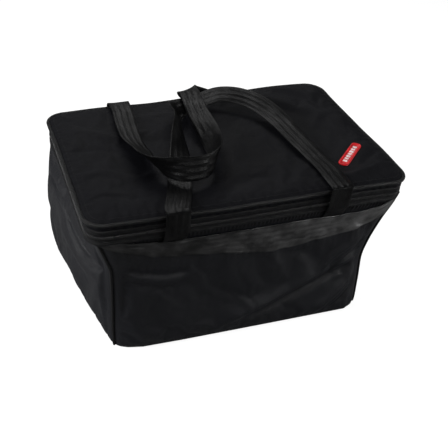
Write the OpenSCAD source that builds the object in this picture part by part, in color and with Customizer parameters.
// Soft-sided insulated food carrier: fabric tub with foam walls, zip lid
// hinged along the rear, and two webbing carrying handles.
// Origin: centre of the underside. +Z up, the front wall faces -Y, right is +X.

/* [Overall] */
// Width of the lid, left to right, over its edge piping
lid_w = 574; // [540:1:620]
// Depth of the lid, front to back, over its edge piping
lid_d = 374; // [350:1:410]
// Height of the top of the lid fabric above the floor
lid_top = 298; // [292:1:330]
// Radius of the lid's four corners in plan
lid_r = 30; // [20:1:40]

/* [Body] */
// Width of the base
base_w = 496; // [470:1:510]
// Depth of the base
base_d = 318; // [300:1:326]
// Height at which the walls start to flare out towards the lid
kink_z = 180; // [150:1:190]
// Radius of the vertical corners at the base
base_r = 22; // [16:1:26]

/* [Layers] */
// Thickness of the outer fabric
fabric_t = 1.5; // [1.2:0.1:1.8]
// Thickness of the closed cell foam in the walls
foam_t = 12; // [8:1:13]
// Thickness of the inner liner
liner_t = 1; // [0.6:0.1:1.2]
// Thickness of the removable base board
board_t = 3; // [2:0.5:4]

/* [Webbing] */
// Width of the handle webbing
strap_w = 40; // [30:1:44]
// Thickness of the handle webbing
strap_t = 1.6; // [1.2:0.1:1.8]
// Distance of each handle leg from the middle
leg_x = 142; // [120:1:150]
// Height of the web band sewn along the front and rear walls
band_h = 54; // [40:1:56]

/* [Zip] */
// Height of the parting line between lid and body
zip_z = 267; // [266:0.5:268]
// Width of each zip tape
tape_h = 13; // [10:1:13]

/* [Hidden] */

gap = 0.3;                    // clearance between neighbouring layers
binding_h = 2;                // height of the body and lid bindings
rim_x = lid_w/2 - 6;          // half width of the rim, outer face of the zip tape
rim_y = lid_d/2 - 6;          // half depth of the rim
band_top = 238;               // top of the wall fabric and of the web bands
liner_top = 256;              // top of the wall foam and liner
floor_z = 10;                 // top of the base foam
foam_inset = fabric_t + gap;  // from the wall's outer face to the foam
liner_inset = foam_inset + foam_t + gap;

// outlines of the body's outer face: [height, half width, half depth, corner radius]
base_level = [0, base_w/2, base_d/2, base_r];
kink_level = [kink_z, base_w/2 - 1, base_d/2 - 1, base_r + 2];
top_level = [band_top, rim_x - 4, rim_y - 4, lid_r - 3];

fabric_color = [0.085, 0.087, 0.095];
web_color = [0.06, 0.06, 0.065];
coil_color = [0.03, 0.03, 0.03];
slider_color = [0.12, 0.12, 0.12];

// ---- plan shapes ----
// the four corners: [x sign, y sign, angle at which the arc starts]
corners = [[1, 1, 0], [-1, 1, 90], [-1, -1, 180], [1, -1, 270]];

module rounded_rect(w, d, r) {
    square([w - 2*r, d], center = true);
    square([w, d - 2*r], center = true);
    for (x = [-1, 1], y = [-1, 1])
        translate([x*(w/2 - r), y*(d/2 - r)])
            circle(r, $fn = 48);
}
module ring(w, d, r, wall) {
    difference() {
        rounded_rect(w, d, r);
        rounded_rect(w - 2*wall, d - 2*wall, r - wall);
    }
}
// upright ring, its outer face inset from the rim's
module rim_ring(inset, wall, z, height) {
    translate([0, 0, z])
        linear_extrude(height)
            ring(2*(rim_x - inset), 2*(rim_y - inset), lid_r - inset, wall);
}
// flat sheet filling the rim up to an inset
module rim_sheet(inset, z, height) {
    translate([0, 0, z])
        linear_extrude(height)
            rounded_rect(2*(rim_x - inset), 2*(rim_y - inset), lid_r - inset);
}
// flat sheet inset from the edge of the base
module base_sheet(inset, radius, z, height) {
    translate([0, 0, z])
        linear_extrude(height)
            rounded_rect(base_w - 2*inset, base_d - 2*inset, radius);
}

// ---- lofted wall layers ----
arc_points = 7;               // points along each wall's part of a corner arc
seam_c = 95;                  // the corner seams lie in the planes |x| - |y| = seam_c
seam_shift = 0.25;            // each wall stops this far short of seam_c

function reversed(list) = [for (i = [len(list) - 1:-1:0]) list[i]];
function at_height(level, z) = [z, level[1], level[2], level[3]];
// point on a corner arc of a level moved in by inset
function corner_point(level, inset, angle, corner = corners[0]) = [
    corner[0]*(level[1] - level[3]) + (level[3] - inset)*cos(angle),
    corner[1]*(level[2] - level[3]) + (level[3] - inset)*sin(angle),
    level[0]];
// angle on that arc where the plane |x| - |y| = c cuts it
function seam_angle(level, inset, c) =
    45 - asin((c - level[1] + level[2])/((level[3] - inset)*sqrt(2)));
// half of one wall's outline, from the seam to the straight part
function half_line(level, inset, long) =
    let(start = seam_angle(level, inset, seam_c + (long ? -seam_shift : seam_shift)),
        end = long ? 90 : 0)
    [for (i = [0:arc_points - 1])
        corner_point(level, inset, start + (end - start)*i/(arc_points - 1))];
// whole outline of the rear wall (long) or of the right wall (not long)
function side_line(level, inset, long) =
    let(half = half_line(level, inset, long))
    concat(half, reversed([for (p = half) long ? [-p[0], p[1], p[2]] : [p[0], -p[1], p[2]]]));

// one layer of a wall, its outer face moved in by inset
module wall(side, inset, thickness, bottom, top) {
    long = side == "front" || side == "rear";
    levels = concat([at_height(base_level, bottom), kink_level, top_level],
        top > band_top ? [at_height(top_level, top)] : []);
    n = 2*arc_points;         // points on one face at each level
    loop = 2*n;               // points around both faces
    last = loop*(len(levels) - 1);
    points = [for (level = levels) each concat(
        side_line(level, inset, long),
        reversed(side_line(level, inset + thickness, long)))];
    // inner and outer faces are split along the same diagonals, so layers stay parallel
    sides = [for (i = [0:len(levels) - 2], j = [0:loop - 1])
        let(a = loop*i + j, b = loop*i + (j + 1)%loop)
        each j < n ? [[a, b + loop, b], [a, a + loop, b + loop]]
            : [[a, a + loop, b], [a + loop, b + loop, b]]];
    caps = [for (j = [0:n - 2])
        let(k = loop - 2 - j)
        each [[j, j + 1, k], [j, k, k + 1],
            [last + j + 1, last + j, last + k], [last + k, last + j, last + k + 1]]];
    // the outline runs anticlockwise for the rear wall and clockwise for the right one
    mirror([side == "left" ? 1 : 0, 0, 0])
        mirror([0, side == "front" ? 1 : 0, 0])
            polyhedron(points = points,
                faces = [for (f = concat(sides, caps)) long ? f : reversed(f)],
                convexity = 8);
}

// ---- outer fabric ----
module base_panel() {
    color(fabric_color)
        base_sheet(foam_inset, base_r - foam_inset, 0, fabric_t);
}
module panel(side) {
    color(fabric_color)
        wall(side, 0, fabric_t, 0, band_top);
}
module front_panel() { panel("front"); }
module rear_panel() { panel("rear"); }
module left_panel() { panel("left"); }
module right_panel() { panel("right"); }

// sloping ring of cloth between the walls and the zip
module gusset_strip() {
    thickness = fabric_t - 0.1;
    top_inset = 1.2;
    steps = 12;               // segments along each corner arc
    low = at_height(top_level, band_top + gap);
    high = [zip_z - 4, rim_x - top_inset, rim_y - top_inset, lid_r - top_inset];
    n = 4*(steps + 1);
    // outer face upwards, then inner face downwards
    loops = [[low, 0], [high, 0], [high, thickness], [low, thickness]];
    color(fabric_color)
        polyhedron(
            points = [for (l = loops, c = corners, i = [0:steps])
                corner_point(l[0], l[1], c[2] + 90/steps*i, c)],
            faces = [for (i = [0:3], j = [0:n - 1])
                let(a = n*i, b = n*((i + 1)%4), k = (j + 1)%n)
                each [[a + j, b + j, a + k], [b + j, b + k, a + k]]],
            convexity = 8);
}

// ---- corner seam piping ----
pipe_r = 2;
pipe_out = pipe_r + 0.9;      // from the wall's outer face to the cord's centre
pipe_bottom = 4;

function seam_point(level) = corner_point(level, -pipe_out, seam_angle(level, 0, seam_c));

module rod(from, to) {
    v = to - from;
    length = norm(v);
    translate(from)
        rotate([0, acos(v[2]/length), atan2(v[1], v[0])])
            cylinder(h = length, r = pipe_r, $fn = 24);
}
module corner_piping(x_sign, y_sign) {
    kink = seam_point(kink_level);
    top = kink + (seam_point(top_level) - kink)*0.95;
    stations = [seam_point(at_height(base_level, pipe_bottom)), kink, top];
    color(web_color)
        mirror([x_sign < 0 ? 1 : 0, 0, 0])
            mirror([0, y_sign < 0 ? 1 : 0, 0]) {
                for (i = [0, 1])
                    rod(stations[i], stations[i + 1]);
                for (p = stations)
                    translate(p) sphere(pipe_r, $fn = 24);
            }
}
module corner_piping_front_left() { corner_piping(-1, -1); }
module corner_piping_front_right() { corner_piping(1, -1); }
module corner_piping_rear_left() { corner_piping(-1, 1); }
module corner_piping_rear_right() { corner_piping(1, 1); }

// ---- insulation and lining ----
module foam(side) {
    color("ivory")
        wall(side, foam_inset, foam_t, foam_inset, liner_top);
}
module front_foam() { foam("front"); }
module rear_foam() { foam("rear"); }
module left_foam() { foam("left"); }
module right_foam() { foam("right"); }
module base_foam() {
    color("ivory")
        base_sheet(liner_inset + 1, 8, foam_inset, floor_z - foam_inset);
}
// five panels: four walls and a floor
module body_liner() {
    floor_inset = liner_inset + liner_t + 0.4;
    color("silver") {
        for (side = ["front", "rear", "left", "right"])
            wall(side, liner_inset, liner_t, floor_z + gap, liner_top);
        base_sheet(floor_inset, base_r - floor_inset, floor_z + gap, liner_t);
    }
}
module base_board() {
    color([0.2, 0.2, 0.2])
        base_sheet(liner_inset + liner_t + 3, 8, floor_z + 2*gap + liner_t, board_t);
}
// covers the top edges of the wall foam and liner
module rim_binding() {
    color(web_color)
        translate([0, 0, liner_top + gap])
            linear_extrude(binding_h)
                ring(2*(top_level[1] - foam_inset), 2*(top_level[2] - foam_inset),
                    top_level[3] - foam_inset, foam_t + gap + liner_t);
}

// ---- webbing on the body and round the lid's edge ----
// Profiles are [distance towards the front, height]; rear pieces are mirrored.
band_gap = 0.8 + strap_t;     // from the wall to the web band
leg_gap = 0.5;                // from the wall to a handle leg
strap_y = lid_d/2 + 3;        // inner face of the webbing outside the lid edge
strap_z = lid_top + 3.2;      // underside of the webbing on the lid
fold_lap = 12;                // reach of each fold over the lid
rear_x = -14;                 // where the slanting rear leg crosses the lid's edge
rear_left_x = -leg_x - 4;     // left end of the rear handle

// half depth of the wall's outer face at height z on the flared part
function flare(z) = kink_level[2]
    + (top_level[2] - kink_level[2])*(z - kink_z)/(band_top - kink_z);

// profile extruded along X, centred on x
module across(profile, x, width) {
    translate([x - width/2, 0, 0])
        rotate([90, 0, 90])
            linear_extrude(width)
                polygon([for (p = profile) [-p[0], p[1]]]);
}
// webbing whose inner face follows a line
module webbing(line, x, width) {
    across(concat(line, reversed([for (p = line) p + [strap_t, 0]])), x, width);
}
module web_band() {
    webbing([for (z = [band_top - band_h, band_top]) [flare(z) + band_gap, z]],
        0, 2*(kink_level[1] - 8));
}
module front_web_band() {
    color(web_color) web_band();
}
module rear_web_band() {
    color(web_color) mirror([0, 1, 0]) web_band();
}
// fixed legs of a handle: behind the band, then up to height top
module legs(top) {
    foot = band_top - band_h + 14;
    bend = zip_z - 3;         // above this the leg is upright
    reach = [[foot, flare(foot) + leg_gap], [band_top, flare(band_top) + leg_gap],
        [bend, strap_y]];
    heights = concat([foot, band_top], top < bend ? [top] : [bend, top]);
    for (s = [-1, 1])
        webbing([for (z = heights) [lookup(z, reach), z]], s*leg_x, strap_w);
}
module front_handle_tabs() {
    color(web_color) legs(lid_top);
}
module rear_handle_tabs() {
    color(web_color) mirror([0, 1, 0]) legs(zip_z - 12);
}
// webbing folded over the lid's edge, rising from height bottom
module fold(x, bottom) {
    outer = strap_y + strap_t;
    tip = strap_y - fold_lap;
    across([[outer, bottom], [strap_y, bottom], [strap_y, strap_z], [tip, strap_z],
        [tip, strap_z + strap_t], [outer, strap_z + strap_t]], x, strap_w);
}
module front_handle_folds() {
    color(web_color)
        for (s = [-1, 1])
            fold(s*leg_x, lid_top + gap);
}
module rear_handle_risers() {
    foot = zip_z + 1;
    head = lid_top + 0.5;
    color(web_color) {
        mirror([0, 1, 0]) fold(rear_left_x, foot);
        mirror([0, 1, 0]) fold(rear_x, lid_top);
        // the right leg slants behind the lid's rear edge
        translate([0, strap_y + strap_t, 0])
            rotate([90, 0, 0])
                linear_extrude(strap_t)
                    polygon([[leg_x - 12, foot], [leg_x - 90, foot],
                        [rear_x - strap_w/2, head], [rear_x + strap_w/2, head]]);
    }
}

// ---- handle loops ----
loop_end = strap_y - fold_lap - 0.8;  // distance of the loop ends from the middle
loop_z = strap_z + strap_t/2;         // mid-thickness of webbing lying on the lid
ribbon_steps = 5;                     // steps between control points

function unit(v) = v/norm(v);
function xyz(p) = [p[0], p[1], p[2]];
// Catmull-Rom curve from b to c
function spline(a, b, c, d, t) = 0.5*((2*b) + (c - a)*t
    + (2*a - 5*b + 4*c - d)*t*t + (3*b - a - 3*c + d)*t*t*t);
function smooth(controls) =
    let(n = len(controls))
    concat([for (i = [0:n - 2], k = [0:ribbon_steps - 1])
        spline(controls[max(i - 1, 0)], controls[i], controls[i + 1],
            controls[min(i + 2, n - 1)], k/ribbon_steps)], [controls[n - 1]]);

// webbing through control points [x, y, z, tilt about its own run]
module ribbon(controls) {
    path = smooth(controls);
    n = len(path);
    points = [for (i = [0:n - 1])
        let(centre = xyz(path[i]),
            tilt = path[i][3],
            along = unit(xyz(path[min(i + 1, n - 1)]) - xyz(path[max(i - 1, 0)])),
            level = unit(cross([0, 0, 1], along)),
            upright = cross(along, level),
            across = level*cos(tilt) + upright*sin(tilt),
            side = across*strap_w/2,
            face = cross(along, across)*strap_t/2)
        each [centre + side - face, centre - side - face,
            centre - side + face, centre + side + face]];
    sides = [for (i = [0:n - 2], j = [0:3])
        let(a = 4*i + j, b = 4*i + (j + 1)%4)
        each [[a, b, b + 4], [a, b + 4, a + 4]]];
    end = 4*(n - 1);
    polyhedron(points = points,
        faces = concat([[3, 2, 1, 0]], sides, [[end, end + 1, end + 2, end + 3]]),
        convexity = 10);
}
module front_handle_loop() {
    x = leg_x;
    y = -loop_end;
    z = loop_z;
    color(web_color) ribbon([
        [-x, y, z, 0], [-x, y + 4, z, 0], [-x + 1, y + 10, z, 0],
        [-124, -134, z, 0], [-111, -94, 302.8, 1], [-97, -50, 308, 20],
        [-84, -5, 316.8, 47], [-72, 40, 320.8, 63], [-62, 84, 321, 54],
        [-42, 111, 315.6, 16], [-10, 125, 313.5, 5], [22, 133, 316.5, 9],
        [59, 132, 321.6, 20], [96, 104, 319.8, 23], [118, 64, 314.5, 19],
        [129, 20, 308.8, 10], [135, -26, 305.3, 4], [139, -73, 303.6, 1],
        [x, -119, z + 0.6, 0], [x, y + 10, z, 0], [x, y + 4, z, 0], [x, y, z, 0]]);
}
module rear_handle_loop() {
    x = rear_left_x;
    y = loop_end;
    z = loop_z;
    color(web_color) ribbon([
        [x, y, z, 0], [x, y - 4, z, 0], [x, y - 10, z + 0.2, -1],
        [-149, 135, 304.6, -9], [-154.5, 88, 305.2, -10], [-158, 41, 307, -14],
        [-156, -5, 312, -26], [-154, -51, 319, -38], [-143.5, -94, 326, -70],
        [-109, -116, 329.5, -113], [-68, -110, 328, -99], [-41, -78, 324, -74],
        [-31, -34, 319.8, -46], [-24.5, 12, 318.5, -30], [-24, 57, 323.5, -10],
        [-22.5, 103, 332.5, -2], [-17, 138, 331, -1], [rear_x, 162, 316, 0],
        [rear_x, y - 5, 306, 0], [rear_x, y, 302.9, 0]]);
}

// ---- zip ----
zip_end = 146;                // y at which the coils end on both sides
tape_t = 0.8;
coil_w = 2.6;
coil_h = 1.8;
coil_out = 1;                 // coil's outer face beyond the tape's

// keeps the part of a rim ring in front of y_max
module zip_run(y_max) {
    intersection() {
        children();
        translate([-400, -400, -10]) cube([800, 400 + y_max, 500]);
    }
}
module zip_tape(z) {
    color(web_color)
        zip_run(zip_end + 4) rim_ring(0, tape_t, z, tape_h);
}
module zip_coil(z) {
    color(coil_color)
        zip_run(zip_end) rim_ring(-coil_out, coil_w, z, coil_h);
}
module zip_tape_lower() { zip_tape(zip_z - 2.5 - tape_h); }
module zip_tape_upper() { zip_tape(zip_z + 2.9); }
module zip_coil_lower() { zip_coil(zip_z - 2.4); }
module zip_coil_upper() { zip_coil(zip_z + 0.8); }
module zip_end_stops() {
    color("dimgray")
        for (s = [-1, 1])
            translate([s*(rim_x + coil_out - coil_w/2) - coil_w/2, zip_end + gap, zip_z - 2.3])
                cube([coil_w, 3, coil_h]);
}
// joins body and lid along the rear, behind the ends of the zip
module hinge_strip() {
    color(fabric_color)
        intersection() {
            rim_ring(0, tape_t, zip_z - 13, 26);
            translate([-300, zip_end + 8, 0]) cube([600, 100, 400]);
        }
}

// ---- zip slider, on the right side ----
slider_y = 128;
pivot_x = rim_x + 4.4;        // pivot of the pull tab
plate = [1.4, 14, 7.2];       // each plate of the slider
lug_r = 1.6;
lug_h = 4;
cheek_t = 1.2;                // cheeks above and below the lug
cheek_z = 2.4;                // from the zip line to the inner face of a cheek
tab = [1.6, 24, 9];

module zip_slider() {
    color(slider_color)
        translate([0, slider_y, zip_z])
            difference() {
                union() {
                    for (x = [rim_x + 1.4, rim_x - 3.4])
                        translate([x, -plate[1]/2, -plate[2]/2]) cube(plate);
                    // bridge between the plates
                    translate([rim_x - 2.5, -2, -0.4]) cube([4.5, 4, 0.8]);
                    translate([pivot_x - 2, -lug_r, -lug_h/2]) cube([2, 2*lug_r, lug_h]);
                    translate([pivot_x, 0, -lug_h/2]) cylinder(h = lug_h, r = lug_r, $fn = 32);
                }
                translate([pivot_x, 0, -5]) cylinder(h = 10, r = 0.9, $fn = 32);
            }
}
// pin, two cheeks and a tab that points to the front
module zip_pull() {
    color(slider_color)
        translate([pivot_x, slider_y, zip_z]) {
            translate([0, 0, -3.4]) cylinder(h = 6.8, r = 0.82, $fn = 32);
            for (z = [-cheek_z - cheek_t, cheek_z]) {
                translate([-tab[0]/2, -7, z]) cube([tab[0], 7, cheek_t]);
                translate([0, 0, z]) cylinder(h = cheek_t, r = 1.4, $fn = 32);
            }
            difference() {
                translate([-tab[0]/2, -30, -tab[2]/2]) cube(tab);
                translate([-2, -26, 0])
                    rotate([0, 90, 0]) cylinder(h = 4, r = 2, $fn = 32);
            }
        }
}

// ---- lid ----
cord_r = 3.5;                 // lid edge piping
cord_z = lid_top - 5.5;
lid_band_z = zip_z + 4;       // bottom of the side band
lid_inset = 3.2;              // from the rim to the lid's foam and lining
lid_binding_z = zip_z + 12.3;
lid_foam_z = zip_z + 16;

module lid_panel() {
    color(fabric_color)
        translate([0, 0, lid_top - fabric_t])
            linear_extrude(fabric_t)
                rounded_rect(lid_w - 8, lid_d - 8, lid_r - 4);
}
module lid_side_band() {
    color(fabric_color)
        rim_ring(1.3, fabric_t, lid_band_z, cord_z + 0.5 - lid_band_z);
}
// round cord along the lid's edge
module lid_piping() {
    x = lid_w/2 - cord_r;
    y = lid_d/2 - cord_r;
    r = lid_r - cord_r;
    color(web_color)
        translate([0, 0, cord_z]) {
            for (s = [-1, 1]) {
                translate([0, s*y, 0]) rotate([0, 90, 0])
                    cylinder(h = 2*(x - r), r = cord_r, center = true, $fn = 24);
                translate([s*x, 0, 0]) rotate([90, 0, 0])
                    cylinder(h = 2*(y - r), r = cord_r, center = true, $fn = 24);
            }
            for (c = corners)
                translate([c[0]*(x - r), c[1]*(y - r), 0]) rotate([0, 0, c[2]])
                    rotate_extrude(angle = 90, $fn = 48)
                        translate([r, 0]) circle(cord_r, $fn = 24);
        }
}
module lid_foam() {
    color("ivory")
        rim_sheet(lid_inset, lid_foam_z, lid_top - fabric_t - gap - lid_foam_z);
}
module lid_liner() {
    color("silver")
        rim_sheet(lid_inset, lid_binding_z + binding_h + gap, liner_t);
}
module lid_binding() {
    color(web_color)
        rim_ring(lid_inset, 9, lid_binding_z, binding_h);
}
// slanted tag with a raised border, at the lid's front right corner
module label_tag() {
    w = 82;
    d = 19;
    r = 7;
    color([0.75, 0.08, 0.07])
        translate([209, -94.5, lid_top + gap])
            rotate([0, 0, 42]) {
                linear_extrude(1.2) rounded_rect(w, d, r);
                linear_extrude(2) ring(w, d, r, 2.2);
            }
}

base_panel();
front_panel();
rear_panel();
left_panel();
right_panel();
gusset_strip();
front_web_band();
rear_web_band();
corner_piping_front_left();
corner_piping_front_right();
corner_piping_rear_left();
corner_piping_rear_right();
front_foam();
rear_foam();
left_foam();
right_foam();
base_foam();
base_board();
body_liner();
rim_binding();
zip_tape_lower();
zip_coil_lower();
zip_end_stops();
hinge_strip();
front_handle_tabs();
rear_handle_tabs();
lid_panel();
lid_side_band();
lid_piping();
lid_foam();
lid_liner();
lid_binding();
zip_tape_upper();
zip_coil_upper();
label_tag();
rear_handle_risers();
front_handle_folds();
front_handle_loop();
rear_handle_loop();
zip_slider();
zip_pull();
